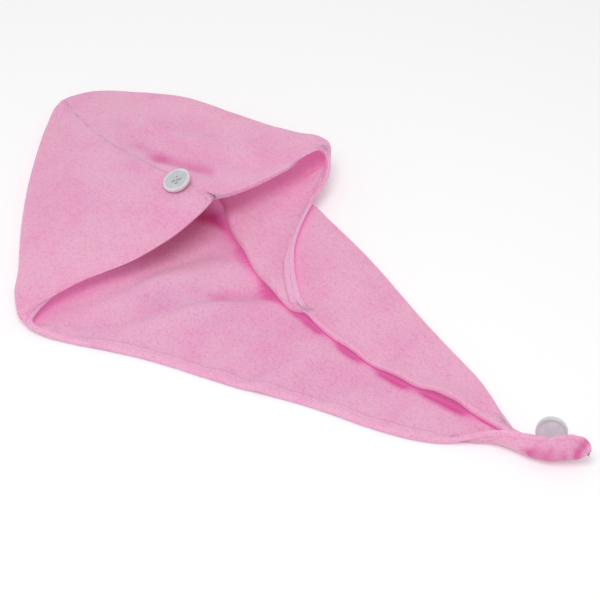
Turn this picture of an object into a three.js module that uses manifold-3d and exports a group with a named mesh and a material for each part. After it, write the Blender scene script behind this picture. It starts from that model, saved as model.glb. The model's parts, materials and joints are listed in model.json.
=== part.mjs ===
import * as THREE from "three";
import Module from "manifold-3d";
import { mergeVertices } from "three/addons/utils/BufferGeometryUtils.js";

// A hair turban towel that lies open on a surface: two halves of plush cloth sewn along the back of
// the hood and the spine of the tail. Millimetres, +Z up, the surface at Z = 0. +X runs from the
// crown corner of the hood to the tip of the tail, and -Y is the near side.

// Cloth
const towelLength = 640; // what the tables' shares along +X are of; the towel ends 1% short at each end
const towelWidth = 320; // near fold to far fold, across the hood; the shares along Y are of this
const mouthHeight = 50; // height of the cloth where the back seam ends
const clothWall = 2.6;
const hemWall = 3.8; // the cloth turned in along its hem
const hemWidth = 6;
const mostHem = 0.25; // the largest share of a short section that its hem takes
const seamGap = 0.3; // between the two halves along their seam
const noseFold = 4; // radius of the crown corner
const nearFold = 8; // radius of the fold along the near side of the hood
const farFold = 14; // radius of the fold along the far side of the hood
const spineFold = 3; // radius of the fold beside the spine seam
const spineReach = 3; // from the spine seam to where that fold starts
const lapelFold = 3.6; // radius of the fold along the lapel
const tipRoll = 8.4; // radius of the rolled tail tip

// Buttons and thread
const buttonDiameter = 25;
const buttonThickness = 3.4;
const buttonRim = 2.4; // width of the raised rim
const buttonDish = 0.9; // depth of the face inside the rim
const buttonEdge = 0.85; // radius of its rounded edge
const buttonSides = 30;
const holeDiameter = 2.2;
const holePitch = 5;
const stitchDiameter = 1.3; // the bundle of thread through two holes
const shankDiameter = 3.2; // the wound thread that holds the tail button
const rodSides = 12; // of a hole and of the shank
const stitchSides = 8;
const shankRoom = 0.8; // least room between the rolled tip and the tail button
const seatClearance = 0.3; // between pieces that touch

// How finely the cloth is sampled: columns for each stretch of a section, from the spine seam out
const nearColumns = [9, 5, 7]; // floor, near fold, top
const farColumns = [4, 3, 4, 5, 5, 6]; // spine fold, under, lapel fold, lapel, far fold, top
const rowsBetween = 2;
const millimetresPerRadian = 9; // a tight fold gets points as if it were this much longer
const absentStep = 1.5; // what a column of a stretch that a section doesn't have takes
const mostLent = 0.4; // the largest share of its room that a stretch gives to absent ones
const easeRows = 2; // over how many sections that changes to a fair share
const foldStep = 15; // degrees
const runSteps = 16;
const runPull = 1 / 3; // how far a run keeps its direction at each end, as a share of its length
const hemColumns = [0.75, 0.15, 0]; // past the hem's inner line, in shares of its width from the edge
const edgeOutside = 0.5; // the very edge of the hem: its wall outside and inside the grid, in shares
const edgeInside = 0.8; // of the wall beside it
const nearFoldEnds = 11; // the section where the near fold has run out
const lapelEnds = 15; // the section where the lapel has run out

const floorLayer = clothWall / 2;
const up = new THREE.Vector3(0, 0, 1);

// One object for each row of a table, by the names of its columns.
function table(columns, rows) {
  const names = columns.split(" ");
  return rows.map((row) => Object.fromEntries(names.map((name, i) => [name, row[i]])));
}

// A place in per cent of the towel's length and width and of the mouth's height.
function place(x, y, z) {
  const point = new THREE.Vector3(x * towelLength, y * towelWidth, z * mouthHeight);
  return point.divideScalar(100);
}

function onFloor({ x, y, lift = 0 }) {
  return place(x, y, lift).addScaledVector(up, floorLayer);
}

// The spine seam on the floor, a row for each section from the crown corner to the tip.
const spineRows = table("x y lift", [
  [1.1, 0, 0],
  [2.8, 0.9, 0],
  [8.6, 4, 0],
  [17.2, 8.1, 0],
  [25, 11.2, 0],
  [31.9, 13.8, 0],
  [34.7, 14.4, 0],
  [37.2, 15, 0],
  [39.4, 15.6, 0],
  [40.9, 15.6, 0],
  [42.5, 15.6, 0],
  [44.4, 15.6, 0],
  [48.4, 13.8, 0],
  [53.9, 11.4, 0],
  [57.2, 9.8, 0],
  [60.6, 7.8, 0],
  [67.2, 3.8, 0],
  [74.2, -0.3, 0],
  [80.5, -3.1, 0],
  [85.2, -6.9, 0],
  [88.8, -10.6, 0],
  [93.4, -9.8, 0],
  [96.5, -6, 4],
  [98.9, -2.4, 14],
]);
const mouthRow = 5; // the section where the back seam ends and the hems start

// The back seam along the crest of the hood, from the crown corner to the mouth.
const backRows = table("x y z", [
  [1.1, 0, 19],
  [3.1, -1.9, 26],
  [10.3, -6.6, 46],
  [18.4, -9.7, 68],
  [26.6, -10.3, 86],
  [38.3, -9.4, 94],
]);

// The near half: where its run along the floor ends, its fold there in per cent of the near fold or
// of the tip's roll, and how many degrees it turns. A whole fold runs on to the back seam or the hem.
const nearRows = table("x y fold roll turned hemX hemY hemZ", [
  [0, 0, 0, 0, 0, 0, 0, 0],
  [2, -4.7, 56, 0, 180, 0, 0, 0],
  [7.5, -18.8, 81, 0, 180, 0, 0, 0],
  [14, -33.4, 94, 0, 180, 0, 0, 0],
  [20.6, -46.3, 100, 0, 180, 0, 0, 0],
  [25.6, -55, 100, 0, 180, 0, 0, 0],
  [27.5, -59.4, 100, 0, 180, 38.1, -21.6, 72],
  [29.1, -61.9, 100, 0, 180, 36.3, -35.4, 48],
  [30.5, -63.8, 94, 0, 180, 33.7, -47.8, 38],
  [31.6, -65, 88, 0, 180, 32.6, -58.3, 33],
  [33, -65.3, 81, 0, 100, 0, 0, 0],
  [37.2, -64.7, 81, 0, 4, 0, 0, 0],
  [46.9, -54.2, 81, 0, 0, 0, 0, 0],
  [53.9, -48.8, 81, 0, 0, 0, 0, 0],
  [57.5, -46.1, 81, 0, 0, 0, 0, 0],
  [60.9, -43.5, 81, 0, 0, 0, 0, 0],
  [67, -37.5, 81, 0, 0, 0, 0, 0],
  [74.5, -32.5, 0, 70, 0, 0, 0, 0],
  [80.6, -27.5, 0, 90, 8, 0, 0, 0],
  [85.2, -19.7, 0, 90, 50, 0, 0, 0],
  [88.8, -12.2, 0, 100, 150, 0, 0, 0],
  [93.4, -10.2, 0, 100, 205, 0, 0, 0],
  [96.5, -6.4, 0, 106, 215, 0, 0, 0],
  [98.9, -2.8, 0, 62, 220, 0, 0, 0],
]);

// The far half: its fold beside the spine seam, the fold along the lapel, the fold along the far
// side of the hood, and the hem. Folds are in per cent of the named radii; 0 degrees is no fold.
const farRows = table(
  "spine roll lapelX lapelY lapelTurned farX farY farZ farSize farTurned hemX hemY hemZ",
  [
    [0, 0, 0, 0, 0, 0, 0, 0, 0, 0, 0, 0, 0],
    [0, 0, 0, 0, 0, 2.5, 6.9, 2.6, 36, 180, 0, 0, 0],
    [0, 0, 0, 0, 0, 7.8, 13.8, 2.6, 50, 180, 0, 0, 0],
    [100, 0, 16.9, 6.3, 180, 16.9, 19.4, 30, 57, 180, 0, 0, 0],
    [100, 0, 25.5, 3.8, 180, 25.5, 22.6, 30, 64, 180, 0, 0, 0],
    [100, 0, 33.6, 1.6, 180, 34.7, 27.2, 30, 79, 180, 0, 0, 0],
    [100, 0, 35.9, -0.6, 180, 37.5, 28.6, 32, 93, 180, 40, 3.1, 94],
    [100, 0, 38, -3.4, 180, 39.4, 28.4, 32, 100, 180, 40.6, 16.3, 93],
    [100, 0, 40.3, -5.9, 180, 40.5, 27.6, 34, 93, 180, 40.5, 26.3, 86],
    [100, 0, 41.9, -7.2, 180, 41.3, 26.6, 42, 71, 90, 0, 0, 0],
    [100, 0, 42.5, -7.8, 180, 0, 0, 0, 0, 0, 43.1, 25, 38],
    [100, 0, 44.7, -9.7, 180, 0, 0, 0, 0, 0, 44.4, 15, 25],
    [100, 0, 49.1, -13.4, 180, 0, 0, 0, 0, 0, 48.4, -0.3, 23],
    [100, 0, 54.2, -15.6, 180, 0, 0, 0, 0, 0, 54.2, -10.9, 23],
    [100, 0, 57.2, -16.3, 180, 0, 0, 0, 0, 0, 57.2, -14.4, 23],
    [100, 0, 0, 0, 0, 0, 0, 0, 0, 0, 60.2, -16.3, 15],
    [100, 0, 0, 0, 0, 0, 0, 0, 0, 0, 67.2, -16.9, 13],
    [100, 0, 0, 0, 0, 0, 0, 0, 0, 0, 74.2, -15.6, 13],
    [100, 0, 0, 0, 0, 0, 0, 0, 0, 0, 80.5, -13.1, 13],
    [100, 0, 0, 0, 0, 0, 0, 0, 0, 0, 85.6, -11.3, 14],
    [0, 40, 0, 0, 0, 0, 0, 0, 0, 0, 88.8, -11.4, 18],
    [0, 60, 0, 0, 0, 0, 0, 0, 0, 0, 93.4, -10.5, 24],
    [0, 60, 0, 0, 0, 0, 0, 0, 0, 0, 96.5, -6.7, 28],
    [0, 26, 0, 0, 0, 0, 0, 0, 0, 0, 98.9, -2.8, 25],
  ],
);

// The level direction from one point to another.
function heading(from, to) {
  return to.clone().sub(from).setZ(0).normalize();
}

// Adds a fold to a path: it leaves its last point along ahead and comes back along after.
function addFold(path, ahead, after, radius, degrees) {
  const start = path.at(-1);
  const steps = Math.ceil(degrees / foldStep);
  for (let step = 1; step <= steps; step++) {
    const angle = THREE.MathUtils.degToRad((degrees * step) / steps);
    const point = start.clone().addScaledVector(up, radius * (1 - Math.cos(angle)));
    const out = radius * Math.sin(angle);
    if (angle <= Math.PI / 2) {
      point.addScaledVector(ahead, out);
    } else {
      point.addScaledVector(ahead, radius).addScaledVector(after, radius - out);
    }
    path.push(point);
  }
}

// Adds a smooth run to a path that leaves along one direction and arrives along another.
function addRun(path, end, leave, arrive) {
  const start = path.at(-1);
  const reach = start.distanceTo(end);
  const curve = new THREE.CubicBezierCurve3(
    start,
    start.clone().addScaledVector(leave, reach * runPull),
    end.clone().addScaledVector(arrive, -reach * runPull),
    end,
  );
  path.push(...curve.getPoints(runSteps).slice(1));
}

// The crown corner, where both halves follow the seam up from the floor to the crest.
function nosePath(columns) {
  const path = [onFloor(spineRows[0])];
  const back = new THREE.Vector3(-1, 0, 0);
  addFold(path, back, back.clone().negate(), noseFold, 180);
  return { path, ends: columns.map(() => path.length - 1) };
}

function backSeamAt(row) {
  return place(backRows[row].x, backRows[row].y, backRows[row].z);
}

function nearPath(row) {
  const { x, y, fold, roll, turned, hemX, hemY, hemZ } = nearRows[row];
  const path = [onFloor(spineRows[row])];
  const ends = [];
  const turn = onFloor({ x, y, lift: spineRows[row].lift });
  const ahead = heading(path[0], turn);
  addRun(path, turn, ahead, ahead);
  ends.push(path.length - 1);
  addFold(path, ahead, ahead.clone().negate(), (fold * nearFold + roll * tipRoll) / 100, turned);
  ends.push(path.length - 1);
  if (row <= mouthRow || hemX > 0) {
    const end = row <= mouthRow ? backSeamAt(row) : place(hemX, hemY, hemZ);
    addRun(path, end, ahead.clone().negate(), heading(path.at(-1), end));
  }
  ends.push(path.length - 1);
  return { path, ends };
}

function farPath(row) {
  const sizes = farRows[row];
  const seam = onFloor(spineRows[row]);
  const path = [seam];
  const ends = [];
  const lapel = place(sizes.lapelX, sizes.lapelY, 0);
  const far = place(sizes.farX, sizes.farY, sizes.farZ);
  const hem = row <= mouthRow ? backSeamAt(row) : place(sizes.hemX, sizes.hemY, sizes.hemZ);
  const spineRadius = (sizes.spine * spineFold + sizes.roll * tipRoll) / 100;
  const across = heading(seam, sizes.lapelTurned > 0 ? lapel : hem);
  if (spineRadius > 0) {
    const out = across.clone().negate();
    path.push(seam.clone().addScaledVector(out, spineReach * Math.min(1, spineFold / spineRadius)));
    addFold(path, out, across, spineRadius, 180);
  }
  ends.push(path.length - 1);
  if (sizes.lapelTurned > 0) {
    lapel.z = path.at(-1).z;
    addRun(path, lapel, across, across);
  } else if (spineRadius > 0) {
    addRun(path, hem, across, across);
  }
  ends.push(path.length - 1);
  const next = sizes.farTurned > 0 ? far : hem;
  addFold(path, across, heading(lapel, next), lapelFold, sizes.lapelTurned);
  ends.push(path.length - 1);
  const out = heading(path.at(-1), next);
  if (path.at(-1) !== hem) {
    addRun(path, next, out, out);
  }
  ends.push(path.length - 1);
  addFold(path, out, heading(far, hem), (farFold * sizes.farSize) / 100, sizes.farTurned);
  ends.push(path.length - 1);
  if (sizes.farTurned === 180) {
    const inward = heading(path.at(-1), hem);
    addRun(path, hem, inward, inward);
  }
  ends.push(path.length - 1);
  return { path, ends };
}

// Where each stretch ends on the scale of weights. A stretch that the section doesn't have borrows
// its columns' room from its neighbour: a little where ease is 0, a fair share where it is 1.
function stretchEnds(ends, total, columns, ease) {
  const fair = [...ends];
  const last = fair.findIndex((end) => end >= total);
  const first = fair.findIndex((end) => end > 0);
  const sum = (from, to) => columns.slice(from, to).reduce((a, b) => a + b, 0);
  const lend = (room, absent, own) => {
    const little = Math.min(mostLent * room, absentStep * absent);
    return THREE.MathUtils.lerp(little, (room * absent) / (absent + own), ease);
  };
  const before = last > 0 ? fair[last - 1] : 0;
  const trailing = sum(last + 1);
  const given = lend(total - before, trailing, columns[last]);
  for (let k = last; k < fair.length; k++) {
    fair[k] = total - (trailing > 0 ? (given * sum(k + 1)) / trailing : 0);
  }
  const leading = sum(0, first);
  const taken = lend(fair[first], leading, columns[first]);
  for (let k = 0; k < first; k++) {
    fair[k] = (taken * sum(0, k + 1)) / leading;
  }
  return fair;
}

// Points along a path: each stretch has its own columns, closer together where the path turns, and
// the hem has the last ones.
function spread({ path, ends }, columns, ease) {
  const lengths = [0];
  const weights = [0];
  for (let k = 1; k < path.length; k++) {
    const step = path[k].clone().sub(path[k - 1]);
    const before = k > 1 ? path[k - 1].clone().sub(path[k - 2]) : step;
    lengths.push(lengths[k - 1] + step.length());
    weights.push(weights[k - 1] + step.length() + millimetresPerRadian * step.angleTo(before));
  }
  const find = (scale, value) => {
    let k = 1;
    while (k < path.length - 1 && scale[k] < value) {
      k += 1;
    }
    return [k, THREE.MathUtils.clamp((value - scale[k - 1]) / (scale[k] - scale[k - 1]), 0, 1)];
  };
  const pointAt = (scale, value) => {
    const [k, share] = find(scale, value);
    return path[k - 1].clone().lerp(path[k], share);
  };
  const length = lengths.at(-1);
  const hem = Math.min(hemWidth, length * mostHem);
  const [k, share] = find(lengths, length - hem);
  const total = THREE.MathUtils.lerp(weights[k - 1], weights[k], share);
  const marks = stretchEnds(ends.map((end) => Math.min(weights[end], total)), total, columns, ease);
  const points = [path[0].clone()];
  columns.forEach((count, stretch) => {
    const from = stretch > 0 ? marks[stretch - 1] : 0;
    for (let step = 1; step <= count; step++) {
      points.push(pointAt(weights, THREE.MathUtils.lerp(from, marks[stretch], step / count)));
    }
  });
  for (const part of hemColumns) {
    points.push(pointAt(lengths, length - hem * part));
  }
  return points;
}

// Rows between the table's rows, on a smooth curve along each column. The hem's columns have a
// corner where the back seam ends.
function refine(rows) {
  const last = rows.length - 1;
  const hemFrom = rows[0].length - 1 - hemColumns.length;
  const fine = [];
  for (let step = 0; step <= last * rowsBetween; step++) {
    const row = Math.min(Math.floor(step / rowsBetween), last - 1);
    const share = step / rowsBetween - row;
    const points = rows[row].map((point, column) => {
      const next = rows[row + 1][column];
      const startsHere = row === 0 || (column >= hemFrom && row === mouthRow);
      const endsHere = row + 1 === last || (column >= hemFrom && row + 1 === mouthRow);
      const before = startsHere ? point : rows[row - 1][column];
      const after = endsHere ? next : rows[row + 2][column];
      return between(before, point, next, after, share);
    });
    fine.push(points);
  }
  return fine;
}

// A point between two others, with tangents that allow for uneven spacing.
function between(before, start, end, after, share) {
  const span = start.distanceTo(end);
  const tangent = (from, middle, to) => {
    const spans = from.distanceTo(middle) + middle.distanceTo(to);
    return to.clone().sub(from).multiplyScalar(span / spans);
  };
  const leave = before === start ? end.clone().sub(start) : tangent(before, start, end);
  const arrive = after === end ? end.clone().sub(start) : tangent(start, end, after);
  const t2 = share * share;
  const t3 = t2 * share;
  return start.clone().multiplyScalar(2 * t3 - 3 * t2 + 1)
    .addScaledVector(leave, t3 - 2 * t2 + share)
    .addScaledVector(end, 3 * t2 - 2 * t3)
    .addScaledVector(arrive, t3 - t2);
}

// A closed wall of cloth round the grid of one half. side is -1 for the near half and 1 for the far
// half, whose grid runs the other way round. Along a seam both halves share one normal, and each
// keeps to its own side of the gap.
function cloth(near, far, side) {
  const rows = side < 0 ? near : far;
  const lastRow = rows.length - 1;
  const lastColumn = rows[0].length - 1;
  const sewnRows = mouthRow * rowsBetween;
  const noseCentre = onFloor(spineRows[0]).addScaledVector(up, noseFold);
  const outer = [];
  const inner = [];
  for (let i = 0; i <= lastRow; i++) {
    for (let j = 0; j <= lastColumn; j++) {
      const middle = rows[i][j].clone();
      const atBack = j === lastColumn && i <= sewnRows;
      const after = rows[atBack ? Math.min(i + 1, sewnRows) : Math.min(i + 1, lastRow)][j];
      const along = after.clone().sub(rows[Math.max(i - 1, 0)][j]);
      const normal = new THREE.Vector3();
      if (i === 0) {
        normal.copy(middle).sub(noseCentre).setY(0).normalize();
        middle.y += (side * seamGap) / 2;
      } else if (j === 0 || atBack) {
        const beside = atBack ? -2 : 1;
        const toFar = far[i].at(beside).clone().sub(near[i].at(beside));
        normal.crossVectors(along, toFar).multiplyScalar(atBack ? 1 : -1).normalize();
        middle.addScaledVector(toFar.normalize(), (side * seamGap) / 2);
      } else {
        const across = rows[i][Math.min(j + 1, lastColumn)].clone().sub(rows[i][j - 1]);
        normal.crossVectors(along, across).multiplyScalar(-side).normalize();
      }
      const hemmed = i > sewnRows && j > lastColumn - hemColumns.length;
      const edge = hemmed && j === lastColumn;
      const wall = hemmed ? hemWall : clothWall;
      const outside = (edge ? edgeOutside : 1) * (clothWall / 2);
      const depth = (edge ? edgeInside : 1) * (wall - clothWall / 2);
      outer.push(middle.clone().addScaledVector(normal, outside));
      inner.push(middle.clone().addScaledVector(normal, -depth));
    }
  }
  const vertices = [...outer, ...inner];
  const width = lastColumn + 1;
  const at = (i, j) => i * width + j;
  const inside = outer.length;
  const faces = [];
  const quad = (a, b, c, d) => {
    faces.push(...(side < 0 ? [a, b, c, a, c, d] : [a, c, b, a, d, c]));
  };
  for (let i = 0; i < lastRow; i++) {
    for (let j = 0; j < lastColumn; j++) {
      const corners = [at(i, j), at(i + 1, j), at(i + 1, j + 1), at(i, j + 1)];
      quad(...corners);
      quad(...corners.map((corner) => corner + inside).reverse());
    }
    quad(at(i, 0), at(i, 0) + inside, at(i + 1, 0) + inside, at(i + 1, 0));
    const [a, b] = [at(i, lastColumn), at(i + 1, lastColumn)];
    quad(a, b, b + inside, a + inside);
  }
  for (let j = 0; j < lastColumn; j++) {
    quad(at(0, j), at(0, j + 1), at(0, j + 1) + inside, at(0, j) + inside);
    const [a, b] = [at(lastRow, j), at(lastRow, j + 1)];
    quad(a, a + inside, b + inside, b);
  }
  const geometry = new THREE.BufferGeometry();
  const numbers = vertices.flatMap((vertex) => vertex.toArray());
  geometry.setAttribute("position", new THREE.Float32BufferAttribute(numbers, 3));
  geometry.setIndex(faces);
  geometry.computeVertexNormals();
  return geometry;
}

// How evenly each section lends room to the stretches that it doesn't have.
function easeAt(row, tightFrom, tightTo) {
  const outside = Math.max(tightFrom - row, row - tightTo, 0);
  return Math.min(outside / easeRows, 1);
}

function grid(pathAt, columns, tightTo) {
  const rows = spineRows.map((_, row) => {
    const section = row === 0 ? nosePath(columns) : pathAt(row);
    return spread(section, columns, easeAt(row, mouthRow, tightTo));
  });
  return refine(rows);
}

const nearGrid = grid(nearPath, nearColumns, nearFoldEnds);
const farGrid = grid(farPath, farColumns, lapelEnds);

// Soft ridges (height over 0) and dents in the cloth: middle, way they run, half their length and
// width, and height, in per cent of the towel's length, width and mouth height.
const softForms = table("x y z wayX wayY length width height", [
  [21, 0, 66, 50, 20, 7, 9, -12],
  [36, 5, 96, 50, 20, 6, 9, -8],
  [41, -33, 0, 38, 62, 11, 9, 12],
  [50, -32, 0, 36, 40, 9, 8, 11],
  [59, -26, 0, 34, 50, 7, 7, 9],
  [79, -19, 0, 50, 30, 5, 8, 8],
]);
const layerReach = 14; // a form moves only the layer of cloth that it lies in

// The nape button lies on the cloth beside the back seam, leaning to the near side, and the cloth
// is drawn flat under it.
const napePlace = place(32.3, -11.2, 88);
const napeNormal = new THREE.Vector3(-0.2, -0.34, 1).normalize();
const drawnWidth = 16; // round the button, where the cloth eases back to its own shape

// How much a form moves a point this far above or below it: not at all in another layer.
function layerShare(away) {
  return 1 - THREE.MathUtils.smoothstep(Math.abs(away), layerReach / 2, layerReach);
}

// A point of the cloth moved by the soft forms and the button. What lies on the surface stays on it.
function shape(point) {
  const shaped = point.clone();
  for (const form of softForms) {
    const away = point.clone().sub(place(form.x, form.y, form.z));
    const way = place(form.wayX, form.wayY, 0).normalize();
    const along = away.dot(way) / ((form.length * towelLength) / 100);
    const aside = (away.x * way.y - away.y * way.x) / ((form.width * towelWidth) / 100);
    const share = Math.exp(-(along ** 2) - aside ** 2) * layerShare(away.z);
    shaped.z += ((form.height * mouthHeight) / 100) * share;
  }
  const fromButton = shaped.clone().sub(napePlace);
  const over = fromButton.dot(napeNormal);
  const radial = fromButton.addScaledVector(napeNormal, -over).length();
  const free = THREE.MathUtils.smoothstep(radial, buttonDiameter / 2, buttonDiameter / 2 + drawnWidth);
  shaped.addScaledVector(napeNormal, -over * (1 - free) * layerShare(over));
  return shaped.setZ(Math.max(shaped.z, floorLayer));
}

const nearShaped = nearGrid.map((row) => row.map(shape));
const farShaped = farGrid.map((row) => row.map(shape));
const nearCloth = cloth(nearShaped, farShaped, -1);
const farCloth = cloth(nearShaped, farShaped, 1);

// How far the cloth reaches along a direction from a point, near the line that they make. Each
// triangle near the line is measured at points all over it.
function clothReach(origin, direction, radius) {
  const finest = 12;
  let reach = -Infinity;
  for (const geometry of [nearCloth, farCloth]) {
    const positions = geometry.getAttribute("position");
    const corners = geometry.getIndex().array;
    for (let i = 0; i < corners.length; i += 3) {
      const three = [corners[i], corners[i + 1], corners[i + 2]];
      const [a, b, c] = three.map((corner) => new THREE.Vector3().fromBufferAttribute(positions, corner));
      const size = Math.max(a.distanceTo(b), b.distanceTo(c), c.distanceTo(a));
      const middle = a.clone().add(b).add(c).divideScalar(3).sub(origin);
      middle.addScaledVector(direction, -middle.dot(direction));
      if (middle.length() > radius + size) {
        continue;
      }
      for (let u = 0; u <= finest; u++) {
        for (let v = 0; u + v <= finest; v++) {
          const away = a.clone().lerp(b, u / finest).sub(origin);
          away.addScaledVector(c, v / finest).addScaledVector(a, -v / finest);
          const along = away.dot(direction);
          if (away.addScaledVector(direction, -along).length() <= radius) {
            reach = Math.max(reach, along);
          }
        }
      }
    }
  }
  return reach;
}

// Stands a mesh's own Z axis along a direction.
function aim(mesh, position, direction) {
  mesh.position.copy(position);
  mesh.quaternion.setFromUnitVectors(up, direction);
}

// A round button: flat back at Z = 0, rounded edge, raised rim and a dished face.
function buttonDisc() {
  const radius = buttonDiameter / 2;
  const edgeAt = (degrees) => {
    const angle = THREE.MathUtils.degToRad(degrees);
    const lower = buttonEdge * (1 - Math.sin(angle));
    return [radius - buttonEdge * (1 - Math.cos(angle)), buttonThickness - lower];
  };
  const profile = [
    [0, 0],
    [radius - buttonEdge, 0],
    [radius, buttonEdge],
    edgeAt(0),
    edgeAt(45),
    edgeAt(90),
    [radius - buttonRim, buttonThickness],
    [radius - buttonRim - buttonDish, buttonThickness - buttonDish],
    [0, buttonThickness - buttonDish],
  ];
  const points = profile.map(([r, z]) => new THREE.Vector2(r, z));
  return new THREE.LatheGeometry(points, buttonSides).rotateX(Math.PI / 2);
}

const wasm = await Module();
wasm.setup();

function toSolid(geometry) {
  const bare = geometry.clone();
  bare.deleteAttribute("normal");
  bare.deleteAttribute("uv");
  const merged = mergeVertices(bare, 1e-4);
  const numbers = { numProp: 3, vertProperties: merged.getAttribute("position").array };
  return new wasm.Manifold(new wasm.Mesh({ ...numbers, triVerts: Uint32Array.from(merged.index.array) }));
}

function toGeometry(solid) {
  const { vertProperties, triVerts } = solid.getMesh();
  const geometry = new THREE.BufferGeometry();
  geometry.setAttribute("position", new THREE.Float32BufferAttribute(vertProperties, 3));
  geometry.setIndex([...triVerts]);
  geometry.computeVertexNormals();
  return geometry;
}

// An upright rod between two heights.
function rod(diameter, x, y, bottom, top, sides) {
  const geometry = new THREE.CylinderGeometry(diameter / 2, diameter / 2, top - bottom, sides);
  return geometry.rotateX(Math.PI / 2).translate(x, y, (bottom + top) / 2);
}

const holePlaces = [-1, 1].flatMap((x) => [-1, 1].map((y) => [(x * holePitch) / 2, (y * holePitch) / 2]));

function sewnButton() {
  let solid = toSolid(buttonDisc());
  for (const [x, y] of holePlaces) {
    solid = solid.subtract(toSolid(rod(holeDiameter, x, y, -1, buttonThickness + 1, rodSides)));
  }
  return toGeometry(solid);
}

// Stitches crossed over the face of the button, with a leg down each of its holes.
function crossStitch() {
  const middle = buttonThickness - buttonDish + seatClearance + stitchDiameter / 2;
  const legs = holePlaces.map(([x, y]) => toSolid(rod(stitchDiameter, x, y, 0, middle, stitchSides)));
  const bars = [1, -1].map((way) => {
    const reach = (holePitch * Math.SQRT2) / 2 + stitchDiameter / 2;
    const bar = rod(stitchDiameter, 0, 0, -reach, reach, stitchSides).rotateX(Math.PI / 2);
    return toSolid(bar.rotateZ((way * Math.PI) / 4).translate(0, 0, middle));
  });
  return toGeometry([...legs, ...bars].reduce((whole, piece) => whole.add(piece)));
}

const plush = new THREE.MeshStandardMaterial({ color: 0xe6a5c8, roughness: 0.95, metalness: 0 });
const shell = new THREE.MeshStandardMaterial({ color: 0xc8cbd0, roughness: 0.3, metalness: 0 });
const thread = new THREE.MeshStandardMaterial({ color: 0xebc2d6, roughness: 0.8, metalness: 0 });

const towel = new THREE.Group();
function add(name, geometry, material) {
  const mesh = new THREE.Mesh(geometry, material);
  mesh.name = name;
  towel.add(mesh);
  return mesh;
}
add("near_panel", nearCloth, plush);
add("far_panel", farCloth, plush);

const napeSeat = clothReach(napePlace, napeNormal, buttonDiameter / 2) + seatClearance;
const napeBase = napePlace.clone().addScaledVector(napeNormal, napeSeat);
aim(add("nape_button", sewnButton(), shell), napeBase, napeNormal);
aim(add("nape_thread", crossStitch(), thread), napeBase, napeNormal);

// The tail button stands on edge behind the rolled tip, leaning away from it.
const tailRow = 21; // the section of the roll that the button stands behind, and how far past it
const tailShare = 0.42;
const tailLean = 22; // degrees from upright
const rollCentre = (row) => onFloor({ ...nearRows[row], lift: spineRows[row].lift })
  .addScaledVector(up, (nearRows[row].roll * tipRoll) / 100);
const rollMiddle = rollCentre(tailRow).lerp(rollCentre(tailRow + 1), tailShare);
const rollWay = heading(rollCentre(tailRow), rollCentre(tailRow + 1));
const lean = THREE.MathUtils.degToRad(tailLean);
const tailNormal = new THREE.Vector3(rollWay.y, -rollWay.x, 0).multiplyScalar(Math.cos(lean));
tailNormal.addScaledVector(up, Math.sin(lean));
const behind = tailNormal.clone().negate();
const rise = up.clone().addScaledVector(tailNormal, -tailNormal.z).normalize();
const tailSeat = clothReach(rollMiddle, behind, buttonDiameter / 2) + seatClearance + shankRoom;
const tailFace = rollMiddle.clone().addScaledVector(behind, tailSeat);
const lowest = seatClearance + (buttonDiameter / 2) * rise.z - buttonThickness * behind.z;
tailFace.addScaledVector(rise, (lowest - tailFace.z) / rise.z);
const tailBack = tailFace.clone().addScaledVector(behind, buttonThickness);
aim(add("tail_button", buttonDisc(), shell), tailBack, tailNormal);
const shankFoot = clothReach(rollMiddle, behind, shankDiameter / 2) + seatClearance;
const shank = rod(shankDiameter, 0, 0, shankFoot, tailSeat - seatClearance, rodSides);
aim(add("tail_thread", shank, thread), rollMiddle, behind);

// The origin is the middle of the towel's box, on the surface that it lies on.
towel.updateMatrixWorld(true);
const reach = new THREE.Box3().setFromObject(towel, true);
towel.position.copy(reach.getCenter(new THREE.Vector3()).negate().setZ(0));

export default towel;
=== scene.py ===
import heapq
import json
import math
import bmesh
import bpy
import numpy as np
from mathutils import Matrix, Vector, noise
from mathutils.bvhtree import BVHTree
from mathutils.kdtree import KDTree

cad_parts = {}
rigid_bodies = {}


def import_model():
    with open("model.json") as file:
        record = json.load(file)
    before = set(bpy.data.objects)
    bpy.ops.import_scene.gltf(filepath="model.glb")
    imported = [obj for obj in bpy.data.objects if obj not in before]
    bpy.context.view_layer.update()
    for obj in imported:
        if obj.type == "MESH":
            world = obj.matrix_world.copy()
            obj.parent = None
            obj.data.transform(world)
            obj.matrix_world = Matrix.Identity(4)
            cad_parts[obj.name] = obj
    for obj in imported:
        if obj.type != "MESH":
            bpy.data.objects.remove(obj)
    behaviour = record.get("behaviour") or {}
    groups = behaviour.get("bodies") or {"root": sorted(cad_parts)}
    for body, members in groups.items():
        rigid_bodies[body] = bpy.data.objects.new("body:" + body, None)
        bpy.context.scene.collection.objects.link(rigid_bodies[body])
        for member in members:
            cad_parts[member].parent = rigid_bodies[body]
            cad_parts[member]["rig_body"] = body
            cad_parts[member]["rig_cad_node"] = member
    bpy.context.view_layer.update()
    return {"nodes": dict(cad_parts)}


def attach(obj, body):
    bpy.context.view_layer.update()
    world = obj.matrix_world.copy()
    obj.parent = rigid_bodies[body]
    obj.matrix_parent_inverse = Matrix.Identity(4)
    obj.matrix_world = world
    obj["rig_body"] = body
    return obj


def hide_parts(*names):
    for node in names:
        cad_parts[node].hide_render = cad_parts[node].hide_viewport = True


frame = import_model()
nodes = frame["nodes"]

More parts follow.
